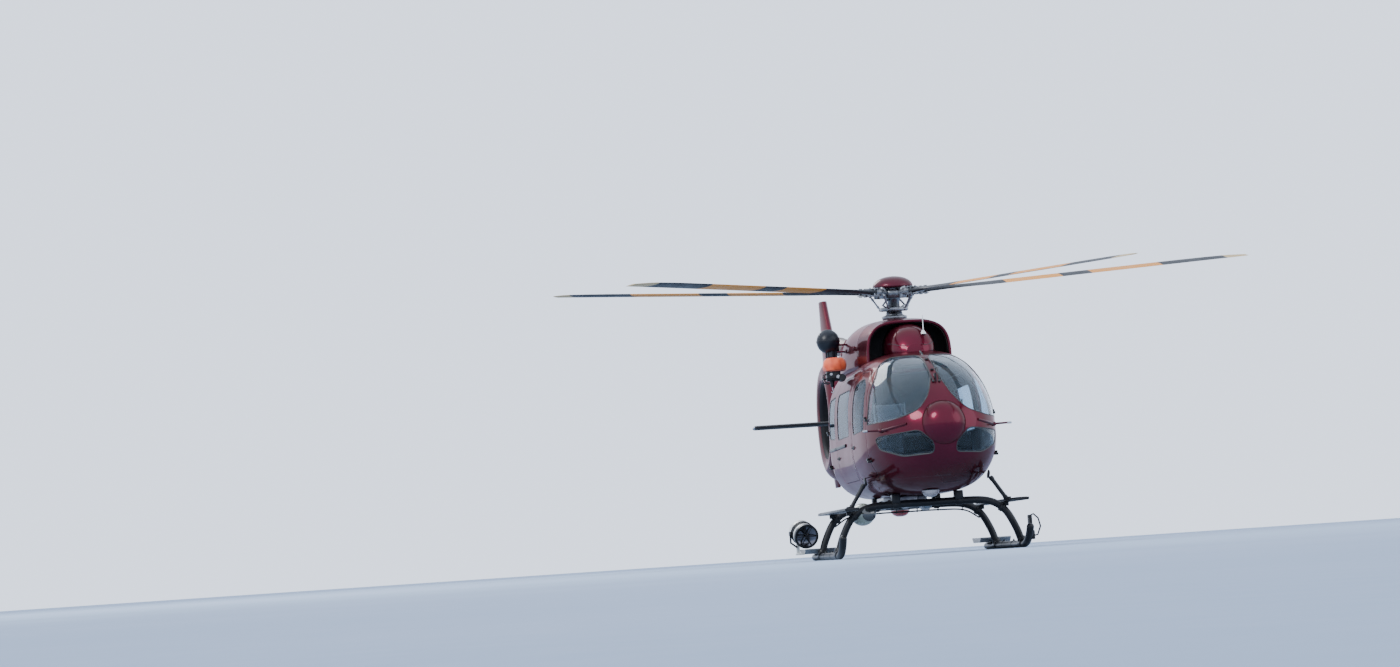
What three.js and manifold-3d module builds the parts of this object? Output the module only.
import * as THREE from 'three';
import { mergeVertices } from 'three/addons/utils/BufferGeometryUtils.js';
import Module from 'manifold-3d';

// A light twin-engine rescue helicopter, standing on its skids.
// Millimetres. The nose points along -Y, port is +X and +Z is up.
// Lengths are laid out from the mast (x 0, y 0) and the ground (z 0).

const wasm = await Module();
wasm.setup();

const PORT = 1;
const STARBOARD = -1;
const SIDES = [['left', PORT], ['right', STARBOARD]];

// Middle of the whole, rotor included, measured from the mast.
const FRAME_CENTRE = { x: 306, y: 1583 };

const FIT_GAP = 0.3;
const RUN_GAP = 8;
const PIN_GAP = 0.4;

const WALL = 50;
const GLASS = { outer: 14, inner: 24 };
const RING_POINTS = 28;

// Body sections from the nose to the root of the tail boom.
const BODY_COLUMNS = ['y', 'halfWidth', 'zBottom', 'zWaist', 'zTop', 'power'];
const BODY_SECTIONS = table(BODY_COLUMNS, [
  [-3480, 120, 1520, 1620, 1730, 2.0],
  [-3420, 280, 1370, 1610, 1860, 2.0],
  [-3300, 465, 1210, 1600, 2010, 2.1],
  [-3100, 630, 1050, 1590, 2200, 2.2],
  [-2800, 770, 915, 1580, 2400, 2.35],
  [-2400, 860, 835, 1570, 2575, 2.5],
  [-1950, 900, 802, 1570, 2700, 2.7],
  [-1400, 910, 800, 1590, 2765, 3.0],
  [-600, 912, 800, 1630, 2785, 3.2],
  [1000, 912, 810, 1670, 2785, 3.2],
  [1400, 872, 880, 1720, 2770, 3.0],
  [1900, 735, 1150, 1870, 2740, 2.7],
  [2350, 570, 1560, 2100, 2690, 2.4],
  [2600, 455, 1860, 2250, 2650, 2.2],
]);

const BOOM_SECTIONS = table(BODY_COLUMNS, [
  [2600 + FIT_GAP, 445, 1870, 2250, 2640, 2.2],
  [3150, 335, 1970, 2285, 2610, 2.0],
  [4600, 275, 2020, 2280, 2545, 2.0],
  [5950, 220, 2050, 2270, 2490, 2.0],
]);

const SHROUD_ROOT_SECTIONS = table(BODY_COLUMNS, [
  [5950 + FIT_GAP, 220, 2050, 2270, 2490, 2.0],
  [6500, 175, 2070, 2285, 2500, 2.0],
]);

// The cowling is a closed shell behind an open arch that frames the air intakes.
const ARCH = { yFront: -1060, yRear: -560, wall: 42 };
const ARCH_SECTIONS = table(BODY_COLUMNS, [
  [ARCH.yFront, 590, 2540, 2700, 3235, 3.2],
  [ARCH.yRear, 665, 2540, 2700, 3300, 3.1],
]);
const COWLING_SECTIONS = table(BODY_COLUMNS, [
  [ARCH.yRear + FIT_GAP, 665, 2540, 2700, 3300, 3.1],
  [400, 730, 2540, 2700, 3350, 2.8],
  [1300, 700, 2540, 2680, 3290, 2.6],
  [2000, 560, 2540, 2640, 3110, 2.4],
  [2700, 330, 2540, 2580, 2830, 2.2],
]);

const FAIRING_SECTIONS = table(BODY_COLUMNS, [
  [-1590, 120, 2670, 2740, 2850, 2.0],
  [-1520, 220, 2650, 2770, 2960, 2.0],
  [-1350, 300, 2620, 2810, 3090, 2.1],
  [-1060, 330, 2620, 2830, 3170, 2.2],
  [ARCH.yRear, 310, 2620, 2830, 3225, 2.2],
]);

// Door, window and pane outlines: side view pairs are y, z and front view pairs are x, z.
const FLOOR_Z = 1000;
const COCKPIT_END_Y = -1180;
const REAR_DOOR_TOP_Z = 1990;
const REAR_DOOR_FRONT_Y = 1200;

const PILOT_DOOR = [[-2330, 1075], [-1240, 1060], [-1240, 2450], [-1800, 2530], [-2120, 2390], [-2330, 1970]];
const PILOT_PANE = [[-2200, 1690], [-1360, 1670], [-1360, 2340], [-1800, 2410], [-2040, 2290], [-2200, 1960]];
const SLIDING_DOOR = [[-1120, 1060], [330, 1060], [330, 2500], [-1120, 2500]];
const SLIDING_PANE = [[-960, 1680], [180, 1680], [180, 2320], [-960, 2320]];
const REAR_PANE = [[470, 1700], [1060, 1740], [1060, 2290], [470, 2320]];
const SHIELD_PANE = [[45, 2660], [45, 2330], [160, 2040], [330, 1850], [600, 1765], [930, 1745], [930, 2660]];
const SHIELD_SIDE = [[-3700, 1400], [-2400, 1400], [-2400, 1980], [-2200, 2420], [-1900, 2590], [-1900, 2850],
  [-3700, 2850]];
const CHIN_PANE = [[150, 1290], [520, 1275], [770, 1390], [810, 1560], [330, 1600], [150, 1420]];

const HINGE = { pin: 8, lugHeight: 30, lugGap: 1, wallDepth: 82, relief: 21 };
const PILOT_HINGE = { x: 867, y: -2322, heights: [1250, 1800] };
const REAR_HINGE = { x: 917, y: 1208, heights: [1300, 1800] };

// Main rotor.
const HUB = { z: 3720, tilt: 5, radius: 185, armRadius: 56 };
const MAST_FOOT = { radius: 220, height: -520 };
const SHAFT_RADIUS = 85;
const CAP_FOOT = 75;
const BLADE = { count: 5, firstAzimuth: 8.5, root: 455, cone: 3, pitch: 8 };
const BLADE_SECTIONS = table(['radius', 'lead', 'trail', 'thickness'], [
  [455, 62, 62, 70],
  [700, 60, 60, 60],
  [1050, 80, 150, 46],
  [1400, 95, 225, 40],
  [4500, 95, 225, 34],
  [5100, 60, 230, 26],
  [5400, -60, 230, 14],
]);

// Tail fan in its shroud.
const FAN = { y: 7000, z: 2310, duct: 600, tip: 585, hub: 150, shaft: 40, blades: 10, vanes: 8 };
const FIN_SECTIONS = table(['z', 'yFront', 'yRear', 'halfThickness'], [
  [1190, 7250, 7680, 40],
  [1550, 6800, 7850, 90],
  [2310, 6300, 8100, 120],
  [3250, 6650, 8110, 110],
  [4380, 7540, 8080, 70],
]);
// The boom and the shroud are thin skins, so the weight lies between the skids.
const SKIN = { boom: 10, shroud: 22 };
const STABILISER = { y: 5600, z: 2190, halfSpan: 1550, chord: 560, thickness: 80 };

// Skid landing gear.
const SKID = { x: 1260, radius: 50, yFront: -2250, yBend: -1750, yRear: 950, rise: 220 };
const CROSS_TUBE = { radius: 50, flatZ: 690, flatX: 820, yFront: -1640, yRear: 180 };
const STEP = { xInner: 1045, xOuter: 1235, zLow: 630, zHigh: 668, yFront: -2450, yRear: 500 };
const STRUT = { y: -1760, radius: 28, top: [850, 1010], foot: [1080, 645] };
const PAD = { xs: [1040, 1480], yFront: 330, yRear: 840, lip: 58, thickness: 14 };

// Rescue hoist on its swinging arm, and the lamps and equipment outside.
const HOIST = { pivot: [-830, 330], arm: 3000, hand: [-1000, -150], sleeve: 46, pin: 20 };
const HOIST_PLATES = [[2938, 2960], [3040, 3062]];
const HOUSING = { z: 3070, radius: 165, height: 172 };
const DRUM = { x: -930, zLow: 2620, zHigh: 2830 };
const SEARCHLIGHT = { front: [-1460, 150, 350], rear: [-1530, 600, 470], radius: 170 };
const BELLY_LAMP = { centre: [-870, -1480, 585], radii: [160, 200, 150] };
const BEACON_Y = 800;
const PROBE = { y: -2880, z: 1640, root: 620, tip: 990, radius: 14 };
const WHIP = { from: [150, -1430, 2900], to: [150, -1460, 3250], radius: 8 };
const SIDE_RAIL = { xs: [880, 930], zs: [1545, 1590], door: [-600, 310], shell: [345, 1020] };
const FLOOR_PLATE = { xs: [-300, 300], ys: [-1000, -100], height: 12 };

const PAINT = material(0x7c1626, 0.25, 0.3);
const DARK_PAINT = material(0x5a101c, 0.3, 0.3);
const BLACK = material(0x15161a, 0.5, 0.2);
const GREY_METAL = material(0x8d9196, 0.4, 0.8);
const BLADE_GREY = material(0x3b3f44, 0.6, 0.0);
const WHITE = material(0xd9dcd8, 0.4, 0.1);
const ORANGE = material(0xd8441f, 0.45, 0.0);
const GLASS_TINT = material(0x9fb8c8, 0.05, 0.0);
const SEAT_CLOTH = material(0x3a3d44, 0.9, 0.0);
const LAMP_GREEN = material(0x8d968a, 0.3, 0.3);
const STEEL_DARK = material(0x4a4a4c, 0.5, 0.8);
const BEACON_RED = material(0xb0202a, 0.2, 0.0);

// Small tools.

function table(columns, rows) {
  return rows.map((row) => Object.fromEntries(columns.map((column, i) => [column, row[i]])));
}

function material(color, roughness, metalness) {
  return new THREE.MeshStandardMaterial({ color, roughness, metalness });
}

function radians(degrees) {
  return THREE.MathUtils.degToRad(degrees);
}

function signedVolume(positions, triangles) {
  const a = new THREE.Vector3();
  const b = new THREE.Vector3();
  const c = new THREE.Vector3();
  let sum = 0;
  for (let i = 0; i < triangles.length; i += 3) {
    a.fromArray(positions, triangles[i] * 3);
    b.fromArray(positions, triangles[i + 1] * 3);
    c.fromArray(positions, triangles[i + 2] * 3);
    sum += a.dot(b.cross(c));
  }
  return sum;
}

// The point on the tilted mast axis at a height above the hub's middle.
function alongMast(height) {
  const angle = radians(HUB.tilt);
  return [0, -height * Math.sin(angle), HUB.z + height * Math.cos(angle)];
}

// A closed three.js geometry as a solid that can be cut and joined.
function solid(geometry) {
  const bare = geometry.clone();
  bare.deleteAttribute('normal');
  bare.deleteAttribute('uv');
  const welded = mergeVertices(bare, 0.001);
  const positions = new Float32Array(welded.attributes.position.array);
  const triangles = [];
  for (let i = 0; i < welded.index.count; i += 3) {
    const [a, b, c] = [0, 1, 2].map((k) => welded.index.getX(i + k));
    if (a !== b && b !== c && a !== c) {
      triangles.push(a, b, c);
    }
  }
  if (signedVolume(positions, triangles) < 0) {
    triangles.reverse();
  }
  const mesh = new wasm.Mesh({ numProp: 3, vertProperties: positions, triVerts: new Uint32Array(triangles) });
  return new wasm.Manifold(mesh);
}

// The radius of a faceted bore that a shaft turns in freely.
function boreRadius(shaftRadius, sides) {
  return (shaftRadius + PIN_GAP) / Math.cos(Math.PI / sides);
}

function joined(...solids) {
  return solids.flat().reduce((whole, next) => whole.add(next));
}

function cut(body, ...tools) {
  return tools.flat().reduce((left, tool) => left.subtract(tool), body);
}

function toGeometry(body) {
  const mesh = body.getMesh();
  const geometry = new THREE.BufferGeometry();
  geometry.setAttribute('position', new THREE.BufferAttribute(new Float32Array(mesh.vertProperties), 3));
  geometry.setIndex(new THREE.BufferAttribute(new Uint32Array(mesh.triVerts), 1));
  return geometry;
}

function box(xs, ys, zs) {
  const geometry = new THREE.BoxGeometry(xs[1] - xs[0], ys[1] - ys[0], zs[1] - zs[0]);
  geometry.translate((xs[0] + xs[1]) / 2, (ys[0] + ys[1]) / 2, (zs[0] + zs[1]) / 2);
  return solid(geometry);
}

// A round bar between two points.
function rod(from, to, radius, sides = 10, endRadius = radius) {
  const start = new THREE.Vector3(...from);
  const end = new THREE.Vector3(...to);
  const along = end.clone().sub(start);
  const geometry = new THREE.CylinderGeometry(endRadius, radius, along.length(), sides);
  const turn = new THREE.Quaternion().setFromUnitVectors(new THREE.Vector3(0, 1, 0), along.clone().normalize());
  geometry.applyQuaternion(turn);
  geometry.translate(...start.add(end).multiplyScalar(0.5).toArray());
  return solid(geometry);
}

function ellipsoid(centre, radii, across = 16, down = 10) {
  const geometry = new THREE.SphereGeometry(1, across, down);
  geometry.rotateX(Math.PI / 2);
  geometry.scale(...radii);
  geometry.translate(...centre);
  return solid(geometry);
}

// A closed outline with rounded corners.
function roundedShape(points, radius) {
  const shape = new THREE.Shape();
  const count = points.length;
  points.forEach((point, i) => {
    const corner = new THREE.Vector2(...point);
    const before = new THREE.Vector2(...points[(i + count - 1) % count]);
    const after = new THREE.Vector2(...points[(i + 1) % count]);
    const back = before.sub(corner);
    const ahead = after.sub(corner);
    const reach = Math.min(radius, back.length() * 0.45, ahead.length() * 0.45);
    const start = corner.clone().add(back.setLength(reach));
    const end = corner.clone().add(ahead.setLength(reach));
    if (i === 0) {
      shape.moveTo(start.x, start.y);
    } else {
      shape.lineTo(start.x, start.y);
    }
    shape.quadraticCurveTo(corner.x, corner.y, end.x, end.y);
  });
  shape.closePath();
  return shape;
}

// The outline with each edge moved inwards by a margin.
function shrunk(points, margin) {
  const outline = points.map((point) => new THREE.Vector2(...point));
  const inward = Math.sign(THREE.ShapeUtils.area(outline));
  const edges = outline.map((start, i) => {
    const along = outline[(i + 1) % outline.length].clone().sub(start).normalize();
    const shift = new THREE.Vector2(-along.y, along.x).multiplyScalar(margin * inward);
    return { start: start.clone().add(shift), along };
  });
  return edges.map((edge, i) => {
    const before = edges[(i + edges.length - 1) % edges.length];
    const gap = edge.start.clone().sub(before.start);
    const distance = gap.cross(edge.along) / before.along.cross(edge.along);
    return before.start.clone().addScaledVector(before.along, distance).toArray();
  });
}

const ALONG_X = new THREE.Matrix4().makeBasis(
  new THREE.Vector3(0, 1, 0), new THREE.Vector3(0, 0, 1), new THREE.Vector3(1, 0, 0));
const ALONG_Y = new THREE.Matrix4().makeBasis(
  new THREE.Vector3(1, 0, 0), new THREE.Vector3(0, 0, 1), new THREE.Vector3(0, -1, 0));

// A side view outline (y, z) swept across x from one value to another.
function sidePrism(points, radius, xs) {
  const options = { depth: xs[1] - xs[0], bevelEnabled: false, curveSegments: 2 };
  const geometry = new THREE.ExtrudeGeometry(roundedShape(points, radius), options);
  geometry.applyMatrix4(ALONG_X);
  geometry.translate(xs[0], 0, 0);
  return solid(geometry);
}

// A front view outline (x, z) swept along y from one value to another.
function frontPrism(points, radius, ys) {
  const options = { depth: ys[1] - ys[0], bevelEnabled: false, curveSegments: 2 };
  const geometry = new THREE.ExtrudeGeometry(roundedShape(points, radius), options);
  geometry.applyMatrix4(ALONG_Y);
  geometry.translate(0, ys[1], 0);
  return solid(geometry);
}

// A closed skin over rings that hold the same number of points.
function loft(rings) {
  const count = rings[0].length;
  const positions = rings.flat().flat();
  const index = [];
  for (let i = 0; i < rings.length - 1; i += 1) {
    for (let j = 0; j < count; j += 1) {
      const a = i * count + j;
      const b = i * count + ((j + 1) % count);
      index.push(a, b, b + count, a, b + count, a + count);
    }
  }
  [[rings[0], 0, 1], [rings.at(-1), (rings.length - 1) * count, -1]].forEach(([ring, first, turn]) => {
    const middle = [0, 1, 2].map((k) => ring.reduce((sum, point) => sum + point[k], 0) / count);
    const hub = positions.length / 3;
    positions.push(...middle);
    for (let j = 0; j < count; j += 1) {
      const pair = [first + j, first + ((j + 1) % count)];
      index.push(hub, ...(turn > 0 ? pair.reverse() : pair));
    }
  });
  const geometry = new THREE.BufferGeometry();
  geometry.setAttribute('position', new THREE.Float32BufferAttribute(positions, 3));
  geometry.setIndex(index);
  return solid(geometry);
}

function bodyRing(section, inset, count = RING_POINTS) {
  const power = 2 / section.power;
  const width = section.halfWidth - inset;
  return Array.from({ length: count }, (_, j) => {
    const angle = (2 * Math.PI * j) / count;
    const [across, up] = [Math.cos(angle), Math.sin(angle)];
    const height = up > 0 ? section.zTop - inset - section.zWaist : section.zWaist - section.zBottom - inset;
    const x = width * Math.sign(across) * Math.abs(across) ** power;
    const z = section.zWaist + height * Math.sign(up) * Math.abs(up) ** power;
    return [x, section.y, z];
  });
}

function body(sections, inset = 0, trim = 0, count = RING_POINTS) {
  const rings = sections.map((section, i) => {
    const end = i === 0 ? trim : i === sections.length - 1 ? -trim : 0;
    return bodyRing({ ...section, y: section.y + end }, inset, count);
  });
  return loft(rings);
}

// The height of the body's top line at a place along it.
function bodyTop(y) {
  const next = BODY_SECTIONS.findIndex((section) => section.y >= y);
  const [a, b] = [BODY_SECTIONS[next - 1], BODY_SECTIONS[next]];
  return THREE.MathUtils.mapLinear(y, a.y, b.y, a.zTop, b.zTop);
}

// A turned shape whose axis runs from one point to another.
function aimed(from, to, profile) {
  const start = new THREE.Vector3(...from);
  const along = new THREE.Vector3(...to).sub(start);
  const points = profile(along.length()).map(([radius, height]) => new THREE.Vector2(radius, height));
  const geometry = new THREE.LatheGeometry(points, 20);
  const turn = new THREE.Quaternion().setFromUnitVectors(new THREE.Vector3(0, 1, 0), along.normalize());
  geometry.applyQuaternion(turn);
  geometry.translate(...from);
  return solid(geometry);
}

function lathe(profile, sides = 28) {
  const points = profile.map(([radius, z]) => new THREE.Vector2(radius, z));
  const geometry = new THREE.LatheGeometry(points, sides);
  geometry.rotateX(Math.PI / 2);
  return solid(geometry);
}

// Half of an outline's prism range on one side.
function reach(side, from, to) {
  return side > 0 ? [from, to] : [-to, -from];
}

function mirrored(points, side) {
  return points.map(([x, z]) => [x * side, z]);
}

const model = new THREE.Group();
const airframe = new THREE.Group();
model.add(airframe);

function add(name, shape, finish, group = airframe) {
  const geometry = shape.getMesh ? toGeometry(shape) : shape;
  const mesh = new THREE.Mesh(geometry, finish);
  mesh.name = name;
  group.add(mesh);
  return mesh;
}

// Fuselage skins.

const outer = body(BODY_SECTIONS);
const inner = body(BODY_SECTIONS, WALL, WALL);
const skin = cut(outer, inner);
const clearOuter = body(BODY_SECTIONS, -FIT_GAP, -FIT_GAP);
const clearBoom = body(BOOM_SECTIONS, -FIT_GAP, -FIT_GAP, 28);
const paneSkin = cut(body(BODY_SECTIONS, GLASS.outer, GLASS.outer), body(BODY_SECTIONS, GLASS.inner, GLASS.inner));

const WHOLE_X = [-1200, 1200];
const WHOLE_Z = [FLOOR_Z + FIT_GAP, 3000];
const CORNER = 90;
const SIDE_DEPTH = [350, 1200];
const NOSE_DEPTH = [-3700, -1600];

const domeCentre = [0, -3320, 1670];
const domeRadius = 300;
const domeSeat = ellipsoid(domeCentre, [domeRadius, domeRadius, domeRadius], 24, 14);

function frameLug(side, hinge, z) {
  const across = reach(side, hinge.x - HINGE.wallDepth, hinge.x + 12);
  const outboard = reach(side, hinge.x - 10, hinge.x + 12);
  const arm = box(across, [hinge.y - 68, hinge.y - 13], [z, z + HINGE.lugHeight]);
  const tongue = box(outboard, [hinge.y - 14, hinge.y + 12], [z, z + HINGE.lugHeight]);
  const pinTop = z + 2 * HINGE.lugHeight + HINGE.lugGap;
  const pin = rod([side * (hinge.x + 1), hinge.y, z], [side * (hinge.x + 1), hinge.y, pinTop], HINGE.pin, 12);
  return joined(arm, tongue, pin);
}

function doorLug(side, hinge, z) {
  const base = z + HINGE.lugHeight + HINGE.lugGap;
  const top = base + HINGE.lugHeight;
  const across = reach(side, hinge.x - HINGE.wallDepth, hinge.x + 12);
  const outboard = reach(side, hinge.x - 10, hinge.x + 12);
  const arm = box(across, [hinge.y + 12, hinge.y + 80], [base, top]);
  const tongue = box(outboard, [hinge.y - 11, hinge.y + 13], [base, top]);
  const axis = [side * (hinge.x + 1), hinge.y];
  const hole = rod([...axis, base - 1], [...axis, top + 1], boreRadius(HINGE.pin, 12), 12);
  return cut(joined(arm, tongue), hole);
}

// Room in the walls beside a hinge for the lugs to turn in.
function hingeReliefs(side, hinge) {
  const [x, y] = [side * (hinge.x + 1), hinge.y];
  const height = 2 * HINGE.lugHeight + HINGE.lugGap;
  return hinge.heights.map((z) => rod([x, y, z - 6], [x, y, z + height + 6], HINGE.relief, 16));
}

function frameLugs(hinge) {
  return SIDES.flatMap(([, side]) => hinge.heights.map((z) => frameLug(side, hinge, z)));
}

function shieldPrism(side, margin) {
  const front = frontPrism(mirrored(shrunk(SHIELD_PANE, margin), side), CORNER, NOSE_DEPTH);
  return front.intersect(sidePrism(shrunk(SHIELD_SIDE, margin), CORNER, reach(side, 0, 1200)));
}

function chinPrism(side, margin) {
  return frontPrism(mirrored(shrunk(CHIN_PANE, margin), side), 60, [-3700, -2400]);
}

const cockpitOpenings = SIDES.flatMap(([, side]) => [
  sidePrism(PILOT_DOOR, CORNER, reach(side, ...SIDE_DEPTH)),
  shieldPrism(side, 0),
  chinPrism(side, 0),
  ...hingeReliefs(side, PILOT_HINGE),
]);
const cabinOpenings = SIDES.flatMap(([, side]) => [
  sidePrism(SLIDING_DOOR, CORNER, reach(side, ...SIDE_DEPTH)),
  sidePrism(REAR_PANE, 60, reach(side, ...SIDE_DEPTH)),
]);

const belly = outer.intersect(box(WHOLE_X, [-3600, REAR_DOOR_FRONT_Y - 2], [700, FLOOR_Z]));
const floorPlate = box(FLOOR_PLATE.xs, FLOOR_PLATE.ys, [FLOOR_Z - 5, FLOOR_Z + FLOOR_PLATE.height]);
add('belly_floor', joined(belly, floorPlate), PAINT);

const cockpitZone = box(WHOLE_X, [-3600, COCKPIT_END_Y - FIT_GAP], WHOLE_Z);
const cockpitShell = cut(skin.intersect(cockpitZone), cockpitOpenings);
const probes = SIDES.map(([, side]) => {
  const { y, z, root, tip, radius } = PROBE;
  return rod([side * root, y, z], [side * tip, y, z], radius, 8, radius - 4);
});
add('cockpit_shell', joined(cockpitShell, frameLugs(PILOT_HINGE), probes.map((probe) => cut(probe, inner))), PAINT);

const cabinZone = box(WHOLE_X, [COCKPIT_END_Y, 2700], WHOLE_Z);
const rearDoorZone = box(WHOLE_X, [REAR_DOOR_FRONT_Y, 2700], [700, REAR_DOOR_TOP_Z]);
const cabinShell = cut(skin.intersect(cabinZone), cabinOpenings, rearDoorZone);
const rearBulkhead = body(BODY_SECTIONS, WALL - 12).intersect(box(WHOLE_X, [2470, 2535], [REAR_DOOR_TOP_Z, 3000]));
const shellRails = SIDES.map(([, side]) => cut(box(reach(side, ...SIDE_RAIL.xs), SIDE_RAIL.shell, SIDE_RAIL.zs), inner));
add('cabin_shell', joined(cabinShell, rearBulkhead, shellRails, frameLugs(REAR_HINGE)), PAINT);

add('nose_dome', cut(domeSeat, clearOuter), PAINT);

SIDES.forEach(([label, side]) => {
  add(`windshield_${label}`, paneSkin.intersect(shieldPrism(side, FIT_GAP)), GLASS_TINT);
  add(`chin_window_${label}`, paneSkin.intersect(chinPrism(side, FIT_GAP)), GLASS_TINT);
  const slidingPanel = skin.intersect(sidePrism(shrunk(SLIDING_DOOR, FIT_GAP), CORNER, reach(side, ...SIDE_DEPTH)));
  const slidingHole = sidePrism(SLIDING_PANE, 70, reach(side, ...SIDE_DEPTH));
  const doorRail = box(reach(side, ...SIDE_RAIL.xs), SIDE_RAIL.door, SIDE_RAIL.zs);
  add(`sliding_door_${label}`, joined(cut(slidingPanel, slidingHole), doorRail), PAINT);
  const slidingPane = sidePrism(shrunk(SLIDING_PANE, FIT_GAP), 70, reach(side, ...SIDE_DEPTH));
  add(`sliding_glass_${label}`, paneSkin.intersect(slidingPane), GLASS_TINT);
  const rearPane = sidePrism(shrunk(REAR_PANE, FIT_GAP), 60, reach(side, ...SIDE_DEPTH));
  add(`rear_glass_${label}`, paneSkin.intersect(rearPane), GLASS_TINT);
});

// Doors that swing.

SIDES.forEach(([label, side]) => {
  const panel = skin.intersect(sidePrism(shrunk(PILOT_DOOR, RUN_GAP), CORNER, reach(side, ...SIDE_DEPTH)));
  const hole = sidePrism(PILOT_PANE, 80, reach(side, ...SIDE_DEPTH));
  const leaf = cut(panel, hole, hingeReliefs(side, PILOT_HINGE));
  const door = joined(leaf, PILOT_HINGE.heights.map((z) => doorLug(side, PILOT_HINGE, z)));
  const pane = sidePrism(shrunk(PILOT_PANE, FIT_GAP), 80, reach(side, ...SIDE_DEPTH));
  add(`pilot_door_${label}`, door, PAINT);
  add(`pilot_glass_${label}`, paneSkin.intersect(pane), GLASS_TINT);
});

SIDES.forEach(([label, side]) => {
  const zone = box(reach(side, RUN_GAP / 2, 1200), [REAR_DOOR_FRONT_Y + RUN_GAP, 2600], [700, REAR_DOOR_TOP_Z - RUN_GAP]);
  const panel = skin.intersect(zone);
  add(`rear_door_${label}`, joined(panel, REAR_HINGE.heights.map((z) => doorLug(side, REAR_HINGE, z))), PAINT);
});

// Cabin inside: instrument panel, crew seats and a bench.

const panelOutline = [[-2950, 1350], [-2700, 1300], [-2560, 1480], [-2620, 1600], [-2900, 1560]];
const panelFoot = box([-120, 120], [-2860, -2700], [FLOOR_Z + FIT_GAP, 1400]);
const panelTop = sidePrism(panelOutline, 20, [-430, 430]);
add('instrument_panel', joined(panelTop, panelFoot), BLACK);

const SEAT = { width: 460, depth: 460, cushionZ: 1330, cushion: 100, backTop: 2080, backDepth: 90 };

function seat(x, y, width) {
  const half = width / 2;
  const cushion = box([x - half, x + half], [y, y + SEAT.depth], [SEAT.cushionZ, SEAT.cushionZ + SEAT.cushion]);
  const backOutline = [
    [y + SEAT.depth - 40, SEAT.cushionZ],
    [y + SEAT.depth + SEAT.backDepth - 30, SEAT.cushionZ],
    [y + SEAT.depth + SEAT.backDepth + 90, SEAT.backTop],
    [y + SEAT.depth + 60, SEAT.backTop],
  ];
  const back = sidePrism(backOutline, 25, [x - half, x + half]);
  const base = box([x - half * 0.7, x + half * 0.7], [y + 60, y + SEAT.depth - 60], [FLOOR_Z + FIT_GAP, SEAT.cushionZ + 10]);
  return joined(cushion, back, base);
}

SIDES.forEach(([label, side]) => {
  add(`pilot_seat_${label}`, seat(side * 400, -2080, SEAT.width), SEAT_CLOTH);
});
add('cabin_bench', seat(0, 150, 1300), SEAT_CLOTH);

// Engine cowling with its two air intakes, and the block of engines and gearbox in it.

const cowlingOuter = body(COWLING_SECTIONS, 0, 0, 28);
const cowlingInner = body(COWLING_SECTIONS, ARCH.wall, ARCH.wall, 28);
const fairing = cut(body(FAIRING_SECTIONS, 0, 0, 24), clearOuter);
const clearFairing = body(FAIRING_SECTIONS, -FIT_GAP, 0, 24);
const archHollow = body(ARCH_SECTIONS, ARCH.wall, -50, 28);
const arch = cut(body(ARCH_SECTIONS, 0, 0, 28), archHollow, clearOuter, clearFairing);
add('intake_arch', arch, PAINT);
const EXHAUST = { x: 430, y: 1500, z: 3050, radius: 135, wall: 8 };
const exhaustPath = (side) => [
  [side * (EXHAUST.x - 60), EXHAUST.y - 150, EXHAUST.z - 40],
  [side * (EXHAUST.x + 190), EXHAUST.y + 650, EXHAUST.z + 150],
];
const exhaustHoles = SIDES.map(([, side]) => rod(...exhaustPath(side), EXHAUST.radius + FIT_GAP, 16));
const mastHole = rod(alongMast(-800), alongMast(-200), MAST_FOOT.radius + 6, 20);
const cowling = cut(cowlingOuter, cowlingInner, clearOuter, clearBoom, exhaustHoles, mastHole);
const [pivotX, pivotY] = HOIST.pivot;
const hoistPlates = HOIST_PLATES.map((zs) => box([pivotX - 50, -620], [pivotY - 55, pivotY + 55], zs));
const hoistPin = rod([pivotX, pivotY, HOIST_PLATES[0][0]], [pivotX, pivotY, HOIST_PLATES[1][1]], HOIST.pin, 10);
add('engine_cowling', joined(cowling, hoistPlates, hoistPin), PAINT);
add('centre_fairing', joined(fairing, rod(WHIP.from, WHIP.to, WHIP.radius, 8)), PAINT);

SIDES.forEach(([label, side]) => {
  const bore = rod(
    exhaustPath(side)[0].map((v, i) => v + [side * 40, 130, 32][i]),
    exhaustPath(side)[1].map((v, i) => v + [side * 40, 130, 32][i]),
    EXHAUST.radius - EXHAUST.wall, 16);
  add(`exhaust_${label}`, cut(rod(...exhaustPath(side), EXHAUST.radius, 16), bore), STEEL_DARK);
});

const ROOF_Z = 2785 + FIT_GAP;
const gearbox = box([-280, 280], [-200, 320], [ROOF_Z, 3110]);
const gearboxNeck = rod(alongMast(-800), alongMast(MAST_FOOT.height - FIT_GAP), 190, 16);
const engines = box([-420, 420], [280, 990], [ROOF_Z, 3090]);
add('engines_and_gearbox', joined(gearbox, gearboxNeck, engines), GREY_METAL);

// Mast cover and fixed swashplate, tilted with the rotor.

const rotorTilt = new THREE.Group();
rotorTilt.position.set(0, 0, HUB.z);
rotorTilt.rotation.x = radians(HUB.tilt);
model.add(rotorTilt);

const shaftBore = boreRadius(SHAFT_RADIUS, 20);
const mastCover = lathe([
  [shaftBore, MAST_FOOT.height],
  [MAST_FOOT.radius, MAST_FOOT.height],
  [MAST_FOOT.radius, -420],
  [165, -390],
  [180, -360],
  [180, -330],
  [125, -310],
  [108, -262],
  [shaftBore, -262],
  [shaftBore, MAST_FOOT.height],
], 20);
add('mast_cover', mastCover, GREY_METAL, rotorTilt);

// Main rotor: head, cap and five blades.

const azimuths = Array.from({ length: BLADE.count }, (_, i) => BLADE.firstAzimuth + (360 / BLADE.count) * i);

function polar(radius, degrees, z) {
  return [radius * Math.cos(radians(degrees)), radius * Math.sin(radians(degrees)), z];
}

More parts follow.
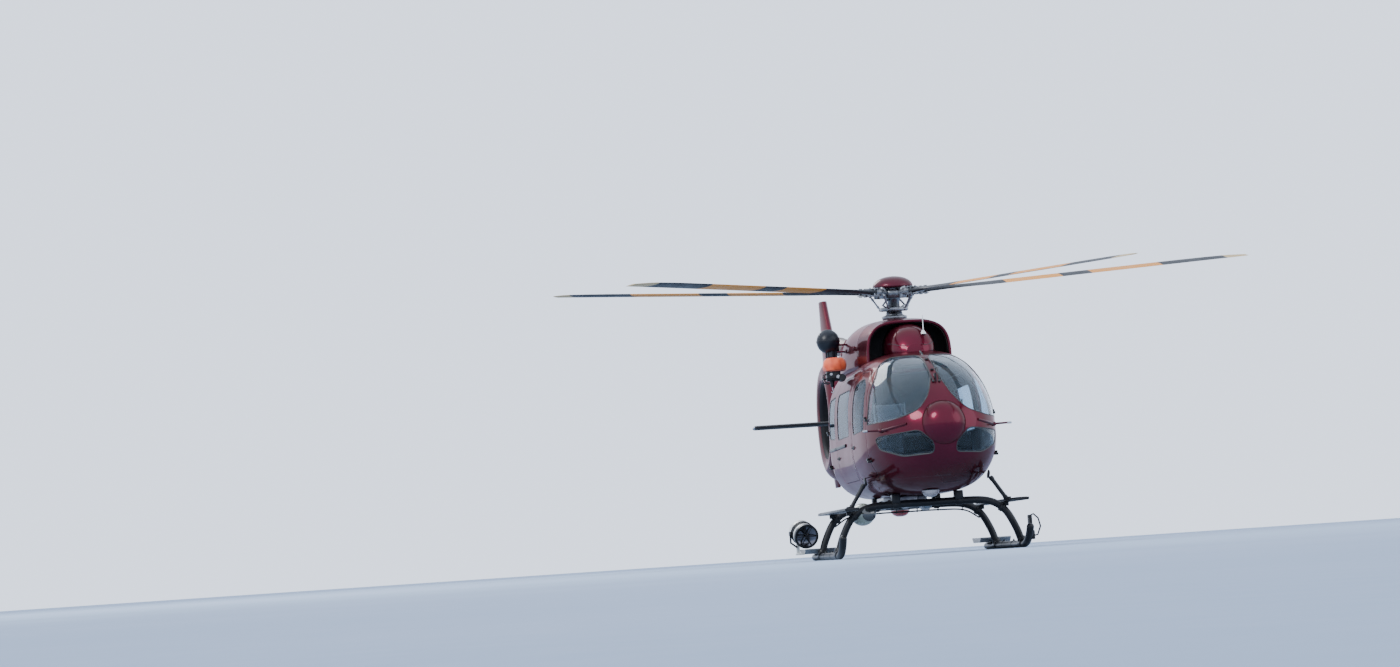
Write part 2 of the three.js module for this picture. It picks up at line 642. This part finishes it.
const hubDisc = lathe([
  [0, -70], [HUB.radius, -70], [HUB.radius + 20, 0], [HUB.radius, 52], [130, 52], [130, CAP_FOOT], [0, CAP_FOOT],
], 20);
const shaft = rod([0, 0, -500], [0, 0, 0], SHAFT_RADIUS, 18);
const hubArms = azimuths.map((degrees) => {
  const [start, end] = [20, BLADE.root - FIT_GAP].map((along) => {
    return polar(along * Math.cos(radians(BLADE.cone)), degrees, along * Math.sin(radians(BLADE.cone)));
  });
  return rod(start, end, HUB.armRadius, 10);
});
const linkRing = lathe([[SHAFT_RADIUS - 5, -246], [205, -246], [205, -214], [SHAFT_RADIUS - 5, -214],
  [SHAFT_RADIUS - 5, -246]], 20);
const pitchLinks = azimuths.map((degrees) => {
  return rod(polar(192, degrees + 14, -236), polar(330, degrees + 14, -30), 13, 6);
});
const pitchHorns = azimuths.map((degrees) => rod(polar(330, degrees, 5), polar(330, degrees + 15, -30), 20, 6));
add('rotor_head', joined(hubDisc, shaft, linkRing, hubArms, pitchLinks, pitchHorns), GREY_METAL, rotorTilt);

const CAP_BASE = CAP_FOOT + FIT_GAP;
const capProfile = [[0, CAP_BASE], [268, CAP_BASE], [283, 98], [266, 145], [215, 192], [120, 229], [0, 242]];
add('rotor_cap', lathe(capProfile, 24), DARK_PAINT, rotorTilt);

function bladeRing(section) {
  const middle = (section.lead - section.trail) / 2;
  const half = (section.lead + section.trail) / 2;
  const count = 14;
  const [c, s] = [Math.cos(radians(BLADE.pitch)), Math.sin(radians(BLADE.pitch))];
  return Array.from({ length: count }, (_, j) => {
    const angle = (2 * Math.PI * j) / count;
    const chordwise = middle + half * Math.cos(angle);
    const fullness = 0.72 + 0.28 * Math.cos(angle);
    const up = (section.thickness / 2) * fullness * Math.sin(angle) * 1.15;
    return [section.radius, chordwise * c - up * s, chordwise * s + up * c];
  });
}

azimuths.forEach((degrees, i) => {
  const geometry = toGeometry(loft(BLADE_SECTIONS.map(bladeRing)));
  geometry.rotateY(-radians(BLADE.cone));
  geometry.rotateZ(radians(degrees));
  add(`main_blade_${i + 1}`, geometry, BLADE_GREY, rotorTilt);
});

// Tail boom, shroud with fin and vanes, stabiliser and fan.

add('tail_boom', cut(body(BOOM_SECTIONS, 0, 0, 28), body(BOOM_SECTIONS, SKIN.boom, -1, 28)), PAINT);

function finRing(section) {
  const count = 20;
  const middle = (section.yFront + section.yRear) / 2;
  const half = (section.yRear - section.yFront) / 2;
  return Array.from({ length: count }, (_, j) => {
    const angle = (2 * Math.PI * j) / count;
    return [section.halfThickness * Math.sin(angle), middle + half * Math.cos(angle), section.z];
  });
}

function aboutFan(body) {
  const geometry = toGeometry(body);
  geometry.rotateY(Math.PI / 2);
  geometry.translate(0, FAN.y, FAN.z);
  return solid(geometry);
}

const SHROUD_PROFILE = [
  // radius, place across
  [FAN.duct, -140], [640, -195], [720, -224], [810, -232], [930, -170], [1015, -40],
  [1015, 40], [960, 130], [830, 215], [720, 232], [640, 205], [FAN.duct, 140], [FAN.duct, -140],
];
const SHROUD_MIDDLE = 805;

// The ring of the shroud, with its whole surface moved inwards by an inset.
function shroudRingSolid(inset, segments) {
  return aboutFan(lathe(SHROUD_PROFILE.map(([radius, across]) => [
    radius - inset * Math.sign(radius - SHROUD_MIDDLE), across - inset * Math.sign(across),
  ]), segments));
}

// The space inside the shroud. It opens at the root, towards the boom.
function shroudHollow(skin) {
  const last = FIN_SECTIONS.length - 1;
  const fin = loft(FIN_SECTIONS.map((section, i) => finRing({
    z: section.z + (i === 0 ? skin : i === last ? -skin : 0),
    yFront: section.yFront + 2 * skin,
    yRear: section.yRear - 2 * skin,
    halfThickness: section.halfThickness - skin,
  })));
  const root = body(SHROUD_ROOT_SECTIONS, skin, -1, 28);
  const duct = rod([-300, FAN.y, FAN.z], [300, FAN.y, FAN.z], FAN.duct + skin, 36);
  return joined(cut(joined(fin, root), duct), shroudRingSolid(skin, 24));
}

const ductHole = rod([-300, FAN.y, FAN.z], [300, FAN.y, FAN.z], FAN.duct, 36);
const finSolid = loft(FIN_SECTIONS.map(finRing));
const shroudRoot = body(SHROUD_ROOT_SECTIONS, 0, 0, 28);
const shroudSolid = joined(cut(joined(finSolid, shroudRoot), ductHole), shroudRingSolid(0, 36));
const shroudBody = cut(shroudSolid, shroudHollow(SKIN.shroud));
const vaneHub = rod([35, FAN.y, FAN.z], [150, FAN.y, FAN.z], FAN.hub, 20);
const fanBore = rod([30, FAN.y, FAN.z], [110, FAN.y, FAN.z], boreRadius(FAN.shaft, 16), 16);

function vane(i) {
  const angle = (360 / FAN.vanes) * i + 11;
  const geometry = new THREE.BoxGeometry(70, 22, FAN.duct + 20 - FAN.hub + 30);
  geometry.translate(85, 0, (FAN.duct + 20 + FAN.hub - 30) / 2);
  geometry.rotateX(radians(angle));
  geometry.translate(0, FAN.y, FAN.z);
  return solid(geometry);
}

const vanes = Array.from({ length: FAN.vanes }, (_, i) => vane(i));
add('tail_shroud', cut(joined(shroudBody, vaneHub, vanes), fanBore), PAINT);

function fanBlade(i) {
  const angle = (360 / FAN.blades) * i;
  const geometry = new THREE.BoxGeometry(16, 95, FAN.tip - FAN.hub + 30);
  geometry.translate(0, 0, (FAN.tip + FAN.hub - 30) / 2);
  geometry.rotateZ(radians(35));
  geometry.rotateX(radians(angle));
  geometry.translate(-45, FAN.y, FAN.z);
  return solid(geometry);
}

const fanBlades = Array.from({ length: FAN.blades }, (_, i) => fanBlade(i));
const fanHub = rod([-110, FAN.y, FAN.z], [20, FAN.y, FAN.z], FAN.hub - 10, 20);
const fanShaft = rod([10, FAN.y, FAN.z], [105, FAN.y, FAN.z], FAN.shaft, 14);
add('tail_fan', joined(fanHub, fanShaft, fanBlades), BLADE_GREY);

SIDES.forEach(([label, side]) => {
  const { y, z, chord, thickness, halfSpan } = STABILISER;
  const ring = (x) => Array.from({ length: 16 }, (_, j) => {
    const angle = (2 * Math.PI * j) / 16;
    return [x, y + (chord / 2) * Math.cos(angle), z + (thickness / 2) * Math.sin(angle)];
  });
  add(`stabiliser_${label}`, cut(loft([ring(side * 100), ring(side * halfSpan)]), clearBoom), BLACK);
});

// Landing gear.

function sweptTube(path, radius, sides, steps) {
  const shape = new THREE.Shape();
  shape.absarc(0, 0, radius, 0, 2 * Math.PI, false);
  const options = { steps, extrudePath: path, curveSegments: sides / 2, bevelEnabled: false };
  return solid(new THREE.ExtrudeGeometry(shape, options));
}

function tube(points, radius, sides = 10, steps = 24) {
  const path = new THREE.CatmullRomCurve3(points.map((p) => new THREE.Vector3(...p)), false, 'catmullrom', 0.5);
  return sweptTube(path, radius, sides, steps);
}

function skidTube(side, radius) {
  const x = side * SKID.x;
  const z = SKID.radius;
  const [rear, bend, control, tip] = [
    [SKID.yRear, z], [SKID.yBend, z], [SKID.yFront + 180, z], [SKID.yFront, z + SKID.rise],
  ].map(([y, height]) => new THREE.Vector3(x, y, height));
  const path = new THREE.CurvePath();
  path.add(new THREE.LineCurve3(rear, bend));
  path.add(new THREE.QuadraticBezierCurve3(bend, control, tip));
  return sweptTube(path, radius, 12, 14);
}

SIDES.forEach(([label, side]) => add(`skid_${label}`, skidTube(side, SKID.radius), BLACK));
const clearSkids = SIDES.map(([, side]) => skidTube(side, SKID.radius + PIN_GAP));

function crossTubeArch(y, radius) {
  const { flatZ, flatX } = CROSS_TUBE;
  const foot = SKID.radius + 10;
  const half = [[0, flatZ], [flatX * 0.55, flatZ], [flatX, flatZ - 25], [1040, 540], [1180, 300], [SKID.x, foot]];
  const left = half.slice(1).reverse().map(([x, z]) => [-x, y, z]);
  const right = half.map(([x, z]) => [x, y, z]);
  return tube([...left, ...right], radius, 8, 22);
}

function crossTube(y) {
  const saddles = [-430, 430].map((x) => box([x - 60, x + 60], [y - 70, y + 70], [CROSS_TUBE.flatZ + 20, 830]));
  return cut(joined(crossTubeArch(y, CROSS_TUBE.radius), saddles), clearOuter, clearSkids);
}

add('cross_tube_front', crossTube(CROSS_TUBE.yFront), BLACK);
add('cross_tube_rear', crossTube(CROSS_TUBE.yRear), BLACK);
const clearTubes = [CROSS_TUBE.yFront, CROSS_TUBE.yRear].map((y) => crossTubeArch(y, CROSS_TUBE.radius + FIT_GAP));

SIDES.forEach(([label, side]) => {
  const board = box(reach(side, STEP.xInner, STEP.xOuter), [STEP.yFront, STEP.yRear], [STEP.zLow, STEP.zHigh]);
  const brackets = [CROSS_TUBE.yFront, CROSS_TUBE.yRear].map((y) => {
    return box(reach(side, 985, 1110), [y - 30, y + 30], [575, STEP.zLow + 10]);
  });
  const top = [side * STRUT.top[0], STRUT.y, STRUT.top[1]];
  const foot = [side * STRUT.foot[0], STRUT.y, STRUT.foot[1]];
  const strut = rod(top, foot, STRUT.radius, 10);
  add(`step_${label}`, cut(joined(board, brackets, strut), clearOuter, clearTubes), BLACK);
});

SIDES.forEach(([label, side]) => {
  const low = 2 * SKID.radius + FIT_GAP;
  const high = low + PAD.thickness;
  const lipped = [
    [PAD.yFront, low], [PAD.yRear, low], [PAD.yRear + 80, low + PAD.lip], [PAD.yRear + 70, high + PAD.lip],
    [PAD.yRear - 5, high], [PAD.yFront + 5, high], [PAD.yFront - 70, high + PAD.lip], [PAD.yFront - 80, low + PAD.lip],
  ];
  add(`snow_pad_${label}`, sidePrism(lipped, 12, reach(side, ...PAD.xs)), GREY_METAL);
});

// Rescue hoist: arm, housing and drum, hanging from the plates on the cowling.

const [handX, handY] = HOIST.hand;
const sleeve = cut(
  rod([pivotX, pivotY, HOIST_PLATES[0][1] + PIN_GAP], [pivotX, pivotY, HOIST_PLATES[1][0] - PIN_GAP], HOIST.sleeve, 16),
  rod([pivotX, pivotY, 2800], [pivotX, pivotY, 3100], boreRadius(HOIST.pin, 12), 12));
const armStart = new THREE.Vector2(handX - pivotX, handY - pivotY).setLength(HOIST.sleeve - 8);
const hoistArm = rod([pivotX + armStart.x, pivotY + armStart.y, HOIST.arm], [handX, handY, HOIST.arm], 34, 10);
const housing = ellipsoid([handX, handY, HOUSING.z], [HOUSING.radius, HOUSING.radius, HOUSING.height], 16, 10);
const neckX = (handX + DRUM.x) / 2;
const neck = rod([neckX, handY, DRUM.zHigh + FIT_GAP], [neckX, handY, 2960], 70, 10);
add('hoist_housing', joined(sleeve, hoistArm, housing, neck), BLACK);

const drumProfile = [
  [0, DRUM.zLow], [100, DRUM.zLow], [158, 2655], [170, 2725], [150, 2800], [110, DRUM.zHigh], [0, DRUM.zHigh],
];
const drum = lathe(drumProfile, 16).translate([DRUM.x, handY, 0]);
const hoistGear = [
  box([DRUM.x - 130, DRUM.x + 70], [handY - 75, handY + 75], [2505, 2640]),
  rod([DRUM.x + 90, handY - 100, 2545], [DRUM.x + 90, handY + 100, 2545], 50, 12),
  rod([DRUM.x - 50, handY, 2420], [DRUM.x - 50, handY, 2520], 28, 10),
  box([DRUM.x, DRUM.x + 100], [handY - 30, handY + 30], [2520, 2600]),
];
add('hoist_drum', joined(drum, hoistGear), ORANGE);

// Lamps and equipment below.

const pod = aimed(SEARCHLIGHT.front, SEARCHLIGHT.rear, (length) => [
  [0, 30], [SEARCHLIGHT.radius - 14, 30], [SEARCHLIGHT.radius - 10, 0], [SEARCHLIGHT.radius, 0],
  [SEARCHLIGHT.radius, length * 0.6], [SEARCHLIGHT.radius * 0.85, length * 0.85],
  [SEARCHLIGHT.radius * 0.45, length], [0, length],
]);
const podArm = box([-1590, -1540], [380, 440], [110, 290]);
const podFoot = box([-1600, -PAD.xs[1] - FIT_GAP], [350, 470], [94, 124]);
add('searchlight', joined(pod, podArm, podFoot), WHITE);

const lampBracket = rod([-880, -1500, 600], [-880, CROSS_TUBE.yFront, 655], 26, 10);
add('belly_lamp', cut(joined(ellipsoid(BELLY_LAMP.centre, BELLY_LAMP.radii), lampBracket), clearTubes), LAMP_GREEN);

const beaconProfile = [[0, 550], [75, 562], [122, 600], [136, 640], [115, 668], [85, 682], [85, 860], [0, 860]];
const beacon = lathe(beaconProfile, 16).translate([0, BEACON_Y, 0]);
add('beacon', cut(beacon, clearOuter), BEACON_RED);

const equipment = [
  box([-560, -90], [-1380, -760], [668, 830]),
  rod([-480, -1450, 700], [-480, -650, 700], 60, 12),
  rod([-180, -1450, 690], [-180, -650, 690], 52, 12),
  box([-180, 80], [-1180, -1060], [640, 830]),
  rod([45, -1290, 665], [45, -1060, 665], 72, 16),
];
add('belly_equipment', cut(joined(equipment), clearOuter, clearTubes), GREY_METAL);

const landingLight = ellipsoid([-60, -2330, 835], [120, 170, 90]);
add('landing_light', cut(landingLight, clearOuter), GREY_METAL);

const cutterPath = [-1960, -2300, -2600, -2850, -3000].map((y) => [0, y, bodyTop(y) + 22]);
const cutterBlade = box([-9, 9], [-3060, -2960], [bodyTop(-3020) - 30, bodyTop(-3020) + 90]);
add('wire_cutter', cut(joined(tube(cutterPath, 16, 8, 10), cutterBlade), clearOuter), BLACK);

const wholeModel = new THREE.Group();
wholeModel.add(model);
model.position.set(-FRAME_CENTRE.x, -FRAME_CENTRE.y, 0);

export default wholeModel;
